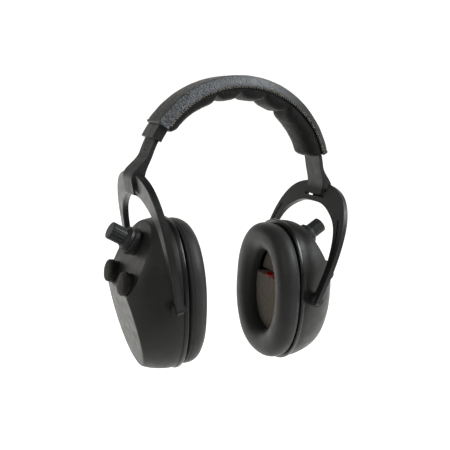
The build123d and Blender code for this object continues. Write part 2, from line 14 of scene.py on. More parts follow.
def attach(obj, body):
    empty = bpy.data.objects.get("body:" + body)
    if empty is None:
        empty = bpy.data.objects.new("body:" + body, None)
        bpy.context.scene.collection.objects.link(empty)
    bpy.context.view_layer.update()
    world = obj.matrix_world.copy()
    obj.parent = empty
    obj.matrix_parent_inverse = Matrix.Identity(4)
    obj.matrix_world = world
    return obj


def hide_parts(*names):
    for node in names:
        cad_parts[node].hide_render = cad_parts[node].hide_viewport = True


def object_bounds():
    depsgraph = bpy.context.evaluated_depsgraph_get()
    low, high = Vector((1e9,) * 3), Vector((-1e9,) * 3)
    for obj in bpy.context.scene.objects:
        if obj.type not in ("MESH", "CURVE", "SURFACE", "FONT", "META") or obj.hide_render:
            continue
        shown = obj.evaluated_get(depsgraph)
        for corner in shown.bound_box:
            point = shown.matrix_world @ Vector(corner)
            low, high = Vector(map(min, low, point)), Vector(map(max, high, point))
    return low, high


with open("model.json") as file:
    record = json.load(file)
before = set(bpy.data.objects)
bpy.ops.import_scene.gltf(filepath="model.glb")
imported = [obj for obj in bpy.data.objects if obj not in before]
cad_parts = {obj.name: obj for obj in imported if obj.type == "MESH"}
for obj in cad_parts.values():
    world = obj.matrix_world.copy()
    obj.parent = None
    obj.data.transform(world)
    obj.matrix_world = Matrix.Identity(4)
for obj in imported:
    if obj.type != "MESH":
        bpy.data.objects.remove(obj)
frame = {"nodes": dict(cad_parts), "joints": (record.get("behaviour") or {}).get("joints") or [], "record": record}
cad_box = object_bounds()

MM = 0.001
SIDES = {"left": -1, "right": 1}
NODES = frame["nodes"]
JOINTS = {j["name"]: j for j in frame["joints"]}
MOUNTS = {m["name"]: m for m in frame["record"]["mounts"]}
BAND_CENTRE_Z = JOINTS["right_arm_slide"]["pos_m"][2]

# Camera, solved for the object's outlines: where it stands and how it is turned
CAMERA_AZIMUTH = math.radians(-27.84)
CAMERA_ELEVATION = math.radians(9.95)
CAMERA_ROLL = math.radians(5.83)
CAMERA_PLACE = Vector((-0.1879, -0.3484, -0.0195))
CAMERA_LENS = 45.35              # millimetres, on a 36 mm sensor

# Studio light
SWEEP_COLOUR = (1.0, 0.99, 0.955)
SHOWN_LIGHT = 1.1                # white to the camera, whatever it lends the object
SWEEP_DIRECTION = (0.41, 0.79, -0.46)
SWEEP_FULL = 0.95                # how squarely a direction faces the sweep where its light is full
SWEEP_LIGHT = 1.0
ROOM_LIGHT = 0.06
LIT_MIDDLE = (0, 0, -0.09)
RIGHT_HIGH = {"place": (0.62, -0.50, 0.50), "size": (0.55, 0.5), "power": 8.0, "colour": (0.96, 0.985, 1.0)}
LEFT_FILL = {"place": (-0.75, -0.28, 0.18), "size": (0.7, 0.6), "power": 2.0, "colour": SWEEP_COLOUR}

# White floor, which glows more the deeper it lies behind the object
FLOOR_DROP = 0.12
FLOOR_REACH = 6.0
FLOOR_DEPTH = (0.46, 0.87, 0.0)
FLOOR_NEAR, FLOOR_FAR = -0.30, 0.33
FLOOR_NEAR_LIGHT = 0.05
FLOOR_FAR_LIGHT = 1.5

# Headband sleeve and its padding
SLEEVE_START = 22.1
SLEEVE_END = 149.5
SLEEVE_STEPS = 300
SLEEVE_TOP_R = 73.9 * MM
SLEEVE_HEM_R = 66.3 * MM
HEM_CLIMB = 2.6 * MM             # how far the hem climbs the sleeve's side towards its right end
HEM_CLIMB_FROM = 98.0
SLEEVE_HALF_WIDTH = 13.0 * MM
PAD_LOW_R = 57.9 * MM
PAD_THINNED = 2.2 * MM           # how much thinner the padding is towards its left end
PAD_THINNED_FROM, PAD_THINNED_TO = 106.0, SLEEVE_END - 10
PAD_TOP_R = 65.05 * MM
PAD_HALF_WIDTH = 12.3 * MM
PAD_SEAMS = (61.6, 79.7, 96.3, 112.8)
PAD_STEPS, PAD_AROUND = 150, 44
STITCH_PITCH = 1.9 * MM
THREAD_R = 0.25 * MM
CREASE_STEPS = 260
END_STITCHES = 11
END_STITCH_PITCH = 2.1 * MM

# Cups, in the cup's own frame: x along the pivots, up, out from the pivot axis
CUP_CENTRE_UP = -3.0 * MM
OVAL_POWER = 2.3
CUSHION_OUTER = (38.3 * MM, 50.7 * MM)
CUSHION_INNER = (19.2 * MM, 30.6 * MM)
CUSHION_BACK = -10.0 * MM
CUSHION_MIDDLE = -15.4 * MM
CUSHION_FRONT = -24.2 * MM
CUSHION_STEPS, CUSHION_AROUND = 220, 56

# Microphone foams, whose axes lean up from the cup's outward one
MIC_X = 15.8 * MM
MIC_R = 7.6 * MM
MIC_LEAN = math.radians(14)
MIC_PRESS = 0.12                 # share of its height that a foam gives up at its middle
MIC_CROWN = 0.30                 # and how much more at its rim

# Knurled nuts
NUT_TEETH = 50
TOOTH_DEPTHS = (0.0, 0.0, 0.0, 0.0, 0.7, 1.0, 1.0, 0.7)      # shares of the groove's depth along one tooth
# The groove faces are given a near-black painted shade.
GROOVE_ROWS, GROOVE_COLUMNS = (4, 5, 6), (2, 3, 4)           # faces of a tooth that lie in its groove
NUT_BORE_R = 3.2 * MM
NUT_GROOVE = 0.75 * MM
NUT_CHAMFER = 0.35 * MM


# ---------------------------------------------------------------- camera, light and stage

def make_camera():
    azimuth, elevation, roll = CAMERA_AZIMUTH, CAMERA_ELEVATION, CAMERA_ROLL
    back = Vector((
        math.sin(azimuth) * math.cos(elevation),
        -math.cos(azimuth) * math.cos(elevation),
        math.sin(elevation),
    ))
    level = Vector((math.cos(azimuth), math.sin(azimuth), 0))
    upright = back.cross(level)
    right = level * math.cos(roll) + upright * math.sin(roll)
    up = upright * math.cos(roll) - level * math.sin(roll)
    camera = bpy.data.objects.new("camera", bpy.data.cameras.new("camera"))
    camera.data.lens = CAMERA_LENS
    camera.data.sensor_width = 36
    camera.data.clip_start = 0.01
    turned = Matrix((right, up, back)).transposed().to_4x4()
    camera.matrix_world = Matrix.Translation(CAMERA_PLACE) @ turned
    bpy.context.scene.collection.objects.link(camera)
    bpy.context.scene.camera = camera


def area_light(name, place, size, power, colour):
    light = bpy.data.objects.new(name, bpy.data.lights.new(name, "AREA"))
    light.data.shape = "RECTANGLE"
    light.data.size, light.data.size_y = size
    light.data.energy = power
    light.data.color = colour
    light.location = place
    light.rotation_euler = (Vector(LIT_MIDDLE) - Vector(place)).to_track_quat("-Z", "Y").to_euler()
    bpy.context.scene.collection.objects.link(light)


def make_world():
    """A lit white sweep behind the object that falls away to a dim room in front of it."""
    world = bpy.data.worlds.new("studio")
    world.use_nodes = True
    tree = world.node_tree
    background = tree.nodes["Background"]
    place = tree.nodes.new("ShaderNodeTexCoord")
    facing = tree.nodes.new("ShaderNodeVectorMath")
    facing.operation = "DOT_PRODUCT"
    facing.inputs[1].default_value = SWEEP_DIRECTION
    fall = tree.nodes.new("ShaderNodeMapRange")
    fall.interpolation_type = "SMOOTHSTEP"
    fall.inputs["From Min"].default_value = 0.0
    fall.inputs["From Max"].default_value = SWEEP_FULL
    fall.inputs["To Min"].default_value = ROOM_LIGHT
    fall.inputs["To Max"].default_value = SWEEP_LIGHT
    seen = tree.nodes.new("ShaderNodeLightPath")
    strength = tree.nodes.new("ShaderNodeMix")
    strength.inputs[3].default_value = SHOWN_LIGHT
    tree.links.new(place.outputs["Generated"], facing.inputs[0])
    tree.links.new(facing.outputs["Value"], fall.inputs["Value"])
    tree.links.new(fall.outputs["Result"], strength.inputs[2])
    tree.links.new(seen.outputs["Is Camera Ray"], strength.inputs[0])
    tree.links.new(strength.outputs[0], background.inputs["Strength"])
    background.inputs["Color"].default_value = (*SWEEP_COLOUR, 1)
    bpy.context.scene.world = world


def make_stage():
    scene = bpy.context.scene
    scene.view_settings.view_transform = "Standard"
    make_world()
    area_light("right_high", **RIGHT_HIGH)
    area_light("left_fill", **LEFT_FILL)
    make_floor()


def make_floor():
    """White floor under the object, lit where it runs up into the sweep behind it."""
    floor_z = cad_box[0][2] - FLOOR_DROP
    mesh = bpy.data.meshes.new("floor")
    corners = [(x * FLOOR_REACH, y * FLOOR_REACH, floor_z) for x, y in ((-1, -1), (1, -1), (1, 1), (-1, 1))]
    mesh.from_pydata(corners, [], [(0, 1, 2, 3)])
    floor = bpy.data.objects.new("floor", mesh)
    bpy.context.scene.collection.objects.link(floor)
    pale = bpy.data.materials.new("pale_floor")
    pale.use_nodes = True
    tree = pale.node_tree
    shader = tree.nodes["Principled BSDF"]
    shader.inputs["Base Color"].default_value = (0.5, 0.5, 0.5, 1)
    shader.inputs["Roughness"].default_value = 0.9
    shader.inputs["Emission Color"].default_value = (*SWEEP_COLOUR, 1)
    place = tree.nodes.new("ShaderNodeTexCoord")
    depth = tree.nodes.new("ShaderNodeVectorMath")
    depth.operation = "DOT_PRODUCT"
    depth.inputs[1].default_value = FLOOR_DEPTH
    glow = tree.nodes.new("ShaderNodeMapRange")
    glow.interpolation_type = "SMOOTHSTEP"
    glow.inputs["From Min"].default_value = FLOOR_NEAR
    glow.inputs["From Max"].default_value = FLOOR_FAR
    glow.inputs["To Min"].default_value = FLOOR_NEAR_LIGHT
    glow.inputs["To Max"].default_value = FLOOR_FAR_LIGHT
    shown = tree.nodes.new("ShaderNodeLightPath")
    strength = tree.nodes.new("ShaderNodeMix")
    strength.inputs[3].default_value = SHOWN_LIGHT
    tree.links.new(place.outputs["Object"], depth.inputs[0])
    tree.links.new(depth.outputs["Value"], glow.inputs["Value"])
    tree.links.new(glow.outputs["Result"], strength.inputs[2])
    tree.links.new(shown.outputs["Is Camera Ray"], strength.inputs[0])
    tree.links.new(strength.outputs[0], shader.inputs["Emission Strength"])
    mesh.materials.append(pale)


# ---------------------------------------------------------------- materials

class Surface:
    """A Principled material built up from object-space textures, so that nothing depends on UVs."""

    def __init__(self, name, colour, roughness, metallic=0.0, coat=0.0, sheen=0.0, specular=0.5):
        self.material = bpy.data.materials.new(name)
        self.material.use_nodes = True
        self.tree = self.material.node_tree
        self.shader = self.tree.nodes["Principled BSDF"]
        self.colour = colour
        self.shader.inputs["Base Color"].default_value = (*colour, 1)
        self.shader.inputs["Roughness"].default_value = roughness
        self.shader.inputs["Metallic"].default_value = metallic
        self.shader.inputs["Coat Weight"].default_value = coat
        self.shader.inputs["Coat Roughness"].default_value = 0.25
        self.shader.inputs["Sheen Weight"].default_value = sheen
        self.shader.inputs["Sheen Roughness"].default_value = 0.5
        self.shader.inputs["Specular IOR Level"].default_value = specular
        self.place = self.add("ShaderNodeTexCoord").outputs["Object"]
        self.last_bump = None
        self.paint = None

    def add(self, kind, **values):
        node = self.tree.nodes.new(kind)
        for key, value in values.items():
            if hasattr(node, key):
                setattr(node, key, value)
            else:
                node.inputs[key.replace("_", " ").title()].default_value = value
        return node

    def link(self, a, b):
        self.tree.links.new(a, b)

    def noise(self, size, detail=3.0, roughness=0.55, stretch=None):
        texture = self.add("ShaderNodeTexNoise", Scale=1 / size, Detail=detail, Roughness=roughness)
        self.link(self.stretched(stretch), texture.inputs["Vector"])
        return texture.outputs["Fac"]

    def cells(self, size, feature="F1"):
        texture = self.add("ShaderNodeTexVoronoi", Scale=1 / size)
        texture.feature = feature
        self.link(self.place, texture.inputs["Vector"])
        return texture.outputs["Distance"]

    def stretched(self, stretch):
        if stretch is None:
            return self.place
        mapping = self.add("ShaderNodeMapping")
        mapping.inputs["Scale"].default_value = stretch
        self.link(self.place, mapping.inputs["Vector"])
        return mapping.outputs["Vector"]

    def ramp(self, value, low, high, out_low=0.0, out_high=1.0):
        remap = self.add("ShaderNodeMapRange")
        remap.inputs["From Min"].default_value = low
        remap.inputs["From Max"].default_value = high
        remap.inputs["To Min"].default_value = out_low
        remap.inputs["To Max"].default_value = out_high
        self.link(value, remap.inputs["Value"])
        return remap.outputs["Result"]

    def tint(self, value, colour):
        """Mixes a colour in wherever value is high."""
        mix = self.add("ShaderNodeMix")
        mix.data_type = "RGBA"
        self.link(value, mix.inputs[0])
        if self.paint is None:
            mix.inputs[6].default_value = (*self.colour, 1)
        else:
            self.link(self.paint, mix.inputs[6])
        mix.inputs[7].default_value = (*colour, 1)
        self.paint = mix.outputs[2]
        self.link(self.paint, self.shader.inputs["Base Color"])

    def vary_roughness(self, value, low, high):
        self.link(self.ramp(value, 0.3, 0.7, low, high), self.shader.inputs["Roughness"])

    def bump(self, value, height):
        """Raises the surface by up to height where value is high, over the bumps already there."""
        node = self.add("ShaderNodeBump")
        node.inputs["Strength"].default_value = 1.0
        node.inputs["Distance"].default_value = height
        self.link(value, node.inputs["Height"])
        if self.last_bump is not None:
            self.link(self.last_bump, node.inputs["Normal"])
        self.last_bump = node.outputs["Normal"]
        self.link(self.last_bump, self.shader.inputs["Normal"])

    def across(self, axis):
        """The object-space coordinate along one axis."""
        apart = self.add("ShaderNodeSeparateXYZ")
        self.link(self.place, apart.inputs[0])
        return apart.outputs[axis]

    def towards_ends(self, value):
        """Keeps only a share of value over the crown of the band and all of it at the band's ends."""
        away = self.add("ShaderNodeMath", operation="ABSOLUTE")
        self.link(self.across("X"), away.inputs[0])
        share = self.ramp(away.outputs[0], 18 * MM, 50 * MM, 0.12, 1.0)
        scaled = self.add("ShaderNodeMath", operation="MULTIPLY")
        self.link(value, scaled.inputs[0])
        self.link(share, scaled.inputs[1])
        return scaled.outputs[0]

    def worn_edges(self, colour, amount):
        """Lightens convex edges, where handling polishes them."""
        pointed = self.add("ShaderNodeNewGeometry").outputs["Pointiness"]
        self.tint(self.ramp(pointed, 0.52, 0.60, 0.0, amount), colour)


def brighter(colour, factor):
    return tuple(min(1.0, c * factor) for c in colour)


def moulded(name, colour, roughness, edge=0.4, coat=0.0):
    """Injection-moulded plastic: fine grain, faint cloudiness, slightly polished edges."""
    surface = Surface(name, colour, roughness, coat=coat)
    surface.tint(surface.ramp(surface.noise(14 * MM, 4), 0.35, 0.7), brighter(colour, 1.28))
    surface.tint(surface.ramp(surface.noise(0.9 * MM, 2), 0.55, 0.75, 0, 0.35), brighter(colour, 0.72))
    surface.worn_edges(brighter(colour, 2.2), edge)
    surface.vary_roughness(surface.noise(6 * MM, 4), roughness - 0.06, roughness + 0.08)
    surface.bump(surface.noise(0.35 * MM, 3), 0.02 * MM)
    surface.bump(surface.noise(3 * MM, 2), 0.02 * MM)
    return surface.material


def leatherette(name, colour, roughness, pebble, depth, glint, specular=0.5):
    """Grained leatherette: pebbles parted by fine creases with painted shade in them, so paler on their tops, and
    patches of painted glint.
    """
    surface = Surface(name, colour, roughness, sheen=0.05, specular=specular)
    pebbles = surface.cells(pebble)
    surface.tint(surface.ramp(surface.noise(9 * MM, 3), 0.35, 0.7), brighter(colour, 1.35))
    # Painted shade in the creases between pebbles.
    surface.tint(surface.ramp(pebbles, 0.25, 0.75, 0.0, 0.55), brighter(colour, 0.45))
    surface.tint(surface.ramp(surface.noise(2.2 * MM, 3), 0.58, 0.8, 0, 0.5), brighter(colour, glint))
    surface.vary_roughness(surface.noise(1.6 * MM, 3), roughness - 0.1, roughness + 0.12)
    surface.bump(surface.ramp(pebbles, 0.0, 0.8, 1.0, 0.0), depth)
    surface.bump(surface.noise(0.35 * MM, 3), 0.03 * MM)
    surface.bump(surface.noise(7 * MM, 3), 0.25 * MM)
    return surface.material


def lit_grained_panel(name, colour, roughness):
    """Coarse leatherette with streaky creases, far paler than the band's own to paint the light its sides catch;
    painted highlight towards -X, painted glints and crease shade towards the ends, painted shade and a duller
    finish towards +X.
    """
    surface = Surface(name, colour, roughness, sheen=0.1)
    streaks = surface.noise(1.1 * MM, 5, 0.7, (1.0, 1.0, 0.55))
    pebbles = surface.cells(1.0 * MM)
    surface.tint(surface.ramp(surface.noise(6 * MM, 3), 0.42, 0.7, 0, 0.6), brighter(colour, 1.5))
    # Painted highlight: paler towards -X, where the side catches glints.
    glinting_left_end = surface.ramp(surface.across("X"), -14 * MM, -50 * MM)
    surface.tint(surface.ramp(glinting_left_end, 0.0, 1.0, 0.0, 0.5), brighter(colour, 1.8))
    # Painted glints on the streaks' tops and painted shade in the pebble creases, mostly towards the band's ends.
    painted_glint_tops = surface.ramp(streaks, 0.50, 0.62, 0.0, 1.0)
    painted_crease_shade = surface.ramp(pebbles, 0.40, 0.85, 0.0, 0.9)
    surface.tint(surface.towards_ends(painted_glint_tops), brighter(colour, 3.0))
    surface.tint(surface.towards_ends(painted_crease_shade), brighter(colour, 0.22))
    # Painted shade: darker towards +X; the same share also raises the roughness there.
    shaded_right_end = surface.ramp(surface.across("X"), 8 * MM, 44 * MM)
    surface.tint(surface.ramp(shaded_right_end, 0.0, 1.0, 0.0, 0.9), brighter(colour, 0.13))
    rough = surface.add("ShaderNodeMath", operation="MULTIPLY_ADD")
    rough.inputs[1].default_value = 0.45
    surface.link(shaded_right_end, rough.inputs[0])
    surface.link(surface.ramp(streaks, 0.3, 0.7, roughness - 0.1, roughness + 0.15), rough.inputs[2])
    surface.link(rough.outputs[0], surface.shader.inputs["Roughness"])
    surface.bump(surface.ramp(pebbles, 0.0, 0.8, 1.0, 0.0), 0.20 * MM)
    surface.bump(streaks, 0.13 * MM)
    return surface.material


def vinyl(name, colour, roughness):
    """Soft smooth vinyl with the faintest grain and slow undulations."""
    surface = Surface(name, colour, roughness, coat=0.04, sheen=0.05, specular=0.3)
    surface.tint(surface.ramp(surface.noise(18 * MM, 4), 0.35, 0.7), brighter(colour, 1.25))
    surface.tint(surface.ramp(surface.noise(1.1 * MM, 2), 0.5, 0.8, 0, 0.3), brighter(colour, 0.75))
    surface.vary_roughness(surface.noise(8 * MM, 4), roughness - 0.05, roughness + 0.07)
    surface.bump(surface.cells(0.55 * MM), 0.022 * MM)
    surface.bump(surface.noise(5 * MM, 3), 0.12 * MM)
    return surface.material


def foam(name, colour, pore, depth):
    """Open-cell foam: pores darkened with painted shade, between paler ribs."""
    surface = Surface(name, colour, 0.95, sheen=0.25, specular=0.2)
    pores = surface.cells(pore)
    fine = surface.noise(0.4 * MM, 4, 0.7)
    surface.tint(surface.ramp(fine, 0.4, 0.65, 0, 0.8), brighter(colour, 1.9))
    # Painted shade in the pores.
    surface.tint(surface.ramp(pores, 0.42, 0.12, 0.0, 0.85), brighter(colour, 0.25))
    surface.tint(surface.ramp(surface.noise(6 * MM, 3), 0.45, 0.75, 0, 0.35), brighter(colour, 1.4))
    surface.bump(pores, depth)
    surface.bump(fine, 0.25 * MM)
    return surface.material


def metal(name, colour, roughness, brushed=(1, 1, 14)):
    """Drawn or turned metal with fine scratches along one way."""
    surface = Surface(name, colour, roughness, metallic=1.0)
    lines = surface.noise(0.5 * MM, 4, 0.6, brushed)
    surface.tint(surface.ramp(lines, 0.4, 0.7, 0, 0.5), brighter(colour, 0.7))
    surface.tint(surface.ramp(surface.noise(5 * MM, 4), 0.55, 0.8, 0, 0.4), brighter(colour, 0.55))
    surface.vary_roughness(lines, roughness - 0.08, roughness + 0.15)
    surface.bump(lines, 0.012 * MM)
    return surface.material


def thread(name, colour):
    """Waxed thread: twisted strands, with painted shade in the turns."""
    surface = Surface(name, colour, 0.6, sheen=0.2)
    twist = surface.noise(0.35 * MM, 3, 0.6, (1, 3, 1))
    # Painted shade in the turns between strands.
    surface.tint(surface.ramp(twist, 0.4, 0.65, 0, 0.85), brighter(colour, 0.35))
    surface.tint(surface.ramp(surface.noise(3.1 * MM, 2), 0.45, 0.6), brighter(colour, 0.4))
    surface.bump(twist, 0.08 * MM)
    return surface.material


def board(name, colour):
    """Solder mask with the tracks showing faintly beneath it."""
    surface = Surface(name, colour, 0.35, coat=0.3)
    tracks = surface.cells(2.4 * MM, "DISTANCE_TO_EDGE")
    surface.tint(surface.ramp(tracks, 0.05, 0.09, 1.0, 0.0), brighter(colour, 1.9))
    surface.tint(surface.ramp(surface.noise(4 * MM, 3), 0.4, 0.7, 0, 0.4), brighter(colour, 0.6))
    surface.bump(surface.ramp(tracks, 0.05, 0.09, 1.0, 0.0), 0.04 * MM)
    return surface.material


# ---------------------------------------------------------------- mesh helpers

def new_object(name, mesh, material):
    obj = bpy.data.objects.new(name, mesh)
    bpy.context.scene.collection.objects.link(obj)
    mesh.materials.clear()
    mesh.materials.append(material)
    shade(mesh, smooth=True)
    return obj


def shade(mesh, smooth):
    mesh.polygons.foreach_set("use_smooth", [smooth] * len(mesh.polygons))


def skin(name, rows, material, closed_rows=True):
    """Surface through rows of points, each a closed section. An open run of rows is capped at both ends."""
    mesh = bpy.data.meshes.new(name)
    width = len(rows[0])
    points = [tuple(p) for row in rows for p in row]
    faces = []
    last_row = len(rows) if closed_rows else len(rows) - 1
    for i in range(last_row):
        a, b = i * width, (i + 1) % len(rows) * width
        for j in range(width):
            k = (j + 1) % width
            faces.append((a + j, a + k, b + k, b + j))
    if not closed_rows:
        faces.append(tuple(reversed(range(width))))
        faces.append(tuple((len(rows) - 1) * width + j for j in range(width)))
    mesh.from_pydata(points, [], faces)
    tidy = bmesh.new()
    tidy.from_mesh(mesh)
    bmesh.ops.recalc_face_normals(tidy, faces=tidy.faces)
    tidy.to_mesh(mesh)
    tidy.free()
    return new_object(name, mesh, material)


def apply_modifiers(obj):
    """Keeps the evaluated mesh and leaves no modifier behind."""
    graph = bpy.context.evaluated_depsgraph_get()
    done = bpy.data.meshes.new_from_object(obj.evaluated_get(graph))
    obj.modifiers.clear()
    obj.data = done


def subdivide(obj):
    modifier = obj.modifiers.new("subdivision", "SUBSURF")
    modifier.levels = modifier.render_levels = 1
    apply_modifiers(obj)
    shade(obj.data, smooth=True)


def ripple(obj, amount, size, seed):
    """Moves each point along its normal by smooth noise."""
    shift = Vector((seed, 1.7 * seed, 0.3 * seed))
    moves = [noise.noise(v.co / size + shift) * amount for v in obj.data.vertices]
    normals = [v.normal.copy() for v in obj.data.vertices]
    for vertex, normal, move in zip(obj.data.vertices, normals, moves):
        vertex.co += normal * move


def band_point(angle, radius, y):
    """A point by its angle and radius about the band's centre."""
    turn = math.radians(angle)
    return Vector((radius * math.cos(turn), y, BAND_CENTRE_Z + radius * math.sin(turn)))


def smooth_step(value):
    value = max(0.0, min(1.0, value))
    return value * value * (3 - 2 * value)


def signed_power(value, power):
    return math.copysign(abs(value) ** power, value)


class Cup:
    """The frame of one cup, read from its pivot and its seal face."""

    def __init__(self, side):
        self.origin = Vector(JOINTS[f"{side}_cup_tilt"]["pos_m"])
        self.out = -Vector(MOUNTS[f"{side}_ear_seal"]["axis"]).normalized()
        self.x = Vector((0, SIDES[side], 0))
        self.up = self.out.cross(self.x)

    def point(self, x, up, out):
        return self.origin + self.x * x + self.up * up + self.out * out


def oval(turn, half_width, half_height, power=OVAL_POWER):
    """Point of the cup's oval at an angle, as (x, up)."""
    x = half_width * signed_power(math.cos(turn), 2 / power)
    return x, CUP_CENTRE_UP + half_height * signed_power(math.sin(turn), 2 / power)


# ---------------------------------------------------------------- soft pieces

def simulate(obj, pinned, pressure, cap):
    """Inflates a closed skin as cloth, holding the pinned points, and moves no point further than cap."""
    start = [v.co.copy() for v in obj.data.vertices]
    group = obj.vertex_groups.new(name="held")
    for index, weight in pinned.items():
        group.add([index], weight, "REPLACE")
    cloth = obj.modifiers.new("cloth", "CLOTH")
    cloth.settings.quality = 6
    cloth.settings.mass = 0.1
    cloth.settings.tension_stiffness = 8
    cloth.settings.compression_stiffness = 8
    cloth.settings.shear_stiffness = 4
    cloth.settings.bending_stiffness = 0.3
    cloth.settings.vertex_group_mass = "held"
    cloth.settings.use_pressure = True
    cloth.settings.uniform_pressure_force = pressure
    cloth.settings.effector_weights.gravity = 0
    cloth.collision_settings.use_collision = False
    scene = bpy.context.scene
    scene.frame_start, scene.frame_end = 1, 20
    for step in range(1, 21):
        scene.frame_set(step)
    apply_modifiers(obj)
    scene.frame_set(1)
    for vertex, place in zip(obj.data.vertices, start):
        move = vertex.co - place
        if move.length > cap:
            vertex.co = place + move * (cap / move.length)
    obj.vertex_groups.clear()


def make_padding(material):
    """Quilted padding: five puffs along the band's underside, drawn in at four seams."""
    rows, pinned = [], {}
    for i in range(PAD_STEPS + 1):
        angle = SLEEVE_START + 0.4 + (SLEEVE_END - SLEEVE_START - 0.8) * i / PAD_STEPS
        seam_gap = min(abs(angle - seam) for seam in PAD_SEAMS)
        end_gap = min(angle - SLEEVE_START, SLEEVE_END - angle)
        pinch = math.exp(-(seam_gap / 1.1) ** 2)
        swell = 1 - 0.55 * math.exp(-(seam_gap / 3.2) ** 2)
        taper = 0.5 + 0.5 * smooth_step(end_gap / 5.0) ** 0.5
        hem = hem_radius(angle)
        thinned = smooth_step((angle - PAD_THINNED_FROM) / (PAD_THINNED_TO - PAD_THINNED_FROM))
        low = PAD_LOW_R + PAD_THINNED * thinned
        row = []
        for j in range(PAD_AROUND):
            turn = 2 * math.pi * j / PAD_AROUND
            c, s = math.cos(turn), math.sin(turn)
            y = PAD_HALF_WIDTH * signed_power(c, 0.72)
            if s <= 0:
                depth = (hem - low) * (0.45 + 0.55 * swell) * taper
                radius = hem - depth * abs(s) ** 0.62 * (1 - 0.28 * pinch)
                y *= 1 + 0.035 * abs(s) * swell
            else:
                radius = hem - (hem - PAD_TOP_R) * min(1, 3.0 * s) ** 0.7
                y *= 0.985
            if s >= -0.05 or pinch > 0.8 or i in (0, PAD_STEPS):
                pinned[i * PAD_AROUND + j] = 1.0
            row.append(band_point(angle, radius, y))
        rows.append(row)
    padding = skin("quilted_padding", rows, material, closed_rows=False)
    simulate(padding, pinned, pressure=5.0, cap=2.2 * MM)
    subdivide(padding)
    ripple(padding, 0.22 * MM, 5 * MM, 3.0)
    ripple(padding, 0.08 * MM, 1.6 * MM, 8.0)
    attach(padding, "headband")
    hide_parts("sleeve_padding")


def hem_radius(angle):
    climbed = smooth_step((HEM_CLIMB_FROM - angle) / (HEM_CLIMB_FROM - SLEEVE_START))
    return SLEEVE_HEM_R + HEM_CLIMB * climbed


def stitch_wave(angle, radius):
    """Rises and falls once per stitch along the band."""
    return math.sin(math.radians(angle) * radius / STITCH_PITCH * 2 * math.pi)


def sleeve_section(angle):
    """Closed section of the cover at an angle: outside skin over the top, then back along the inside."""
    wave = 0.10 * MM * noise.noise(Vector((angle * 0.16, 0.4, 2.0)))
    hem = hem_radius(angle) + 0.14 * MM * stitch_wave(angle, SLEEVE_TOP_R)
    half, top = SLEEVE_HALF_WIDTH + wave, SLEEVE_TOP_R + wave
    tall = top - hem
    outside = [
        (half - 0.75 * MM, hem), (half - 0.1 * MM, hem + 0.2 * MM), (half + 0.25 * MM, hem + 0.7 * MM),
        (half + 0.3 * MM, hem + 0.22 * tall), (half - 0.05 * MM, hem + 0.42 * tall),
        (half - 0.6 * MM, hem + 0.65 * tall), (half - 1.25 * MM, hem + 0.86 * tall),
        (half - 1.6 * MM, top - 0.3 * MM), (half - 1.85 * MM, top - 0.05 * MM),
        (half - 2.9 * MM, top), (half * 0.5, top + 0.12 * MM), (half * 0.2, top + 0.16 * MM),
    ]
    inside = [
        (half * 0.3, top - 1.05 * MM), (half - 4.2 * MM, top - 1.1 * MM),
        (half - 3.0 * MM, top - 1.4 * MM), (half - 2.3 * MM, top - 0.3 * tall),
        (half - 1.3 * MM, hem + 0.4 * tall), (half - 1.2 * MM, hem + 0.7 * MM),
    ]
    other_side = [(-y, r) for y, r in reversed(outside)] + [(-y, r) for y, r in reversed(inside)]
    return outside + other_side + inside


def make_cover(material, lit_panel_material):
    """Leatherette sleeve over the spring band: smooth top, grained sides in a paler material that paints the light
    they catch, a rolled hem below.
    """
    rows = []
    for i in range(SLEEVE_STEPS + 1):
        angle = SLEEVE_START + (SLEEVE_END - SLEEVE_START) * i / SLEEVE_STEPS
        end_gap = min(angle - SLEEVE_START, SLEEVE_END - angle)
        lip = 0.22 * MM * math.exp(-((end_gap - 0.9) / 0.5) ** 2)
        groove = -0.2 * MM * math.exp(-((end_gap - 1.9) / 0.35) ** 2)
        swell = 1 + (lip + groove) / SLEEVE_HALF_WIDTH
        rows.append([band_point(angle, r + (lip + groove) * (r > SLEEVE_TOP_R - 2 * MM), y * swell)
                     for y, r in sleeve_section(angle)])
    cover = skin("sleeve_leatherette", rows, material, closed_rows=False)
    subdivide(cover)
    ripple(cover, 0.10 * MM, 6 * MM, 5.0)
    # The side faces get the panel material, whose paler colour is painted light.
    cover.data.materials.append(lit_panel_material)
    for face in cover.data.polygons:
        out = Vector((face.center.x, 0, face.center.z - BAND_CENTRE_Z))
        sideways = abs(face.center.y) > SLEEVE_HALF_WIDTH - 1.9 * MM and abs(face.normal.y) > 0.4
        face.material_index = int(sideways and out.length < SLEEVE_TOP_R - 0.1 * MM)
    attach(cover, "headband")
    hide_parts("sleeve_cover")


def stitches(name, paths, material, body):
    """One mesh of thread lengths, each a small bowed tube."""
    mesh = bpy.data.meshes.new(name)
    builder = bmesh.new()
    sides, rings = 6, 7
    for start, end, lift in paths:
        along = end - start
        side = along.cross(lift).normalized()
        loops = []
        for k in range(rings):
            t = k / (rings - 1)
            centre = start + along * t + lift * math.sin(math.pi * t)
            thick = THREAD_R * (0.55 + 0.45 * math.sin(math.pi * t))
            loops.append([
                builder.verts.new(
                    centre + side * thick * math.cos(2 * math.pi * m / sides)
                    + lift.normalized() * thick * math.sin(2 * math.pi * m / sides)
                )
                for m in range(sides)
            ])
        for a, b in zip(loops, loops[1:]):
            for m in range(sides):
                n = (m + 1) % sides
                builder.faces.new((a[m], a[n], b[n], b[m]))
        builder.faces.new(reversed(loops[0]))
        builder.faces.new(loops[-1])
    bmesh.ops.recalc_face_normals(builder, faces=builder.faces)
    builder.to_mesh(mesh)
    builder.free()
    obj = new_object(name, mesh, material)
    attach(obj, body)


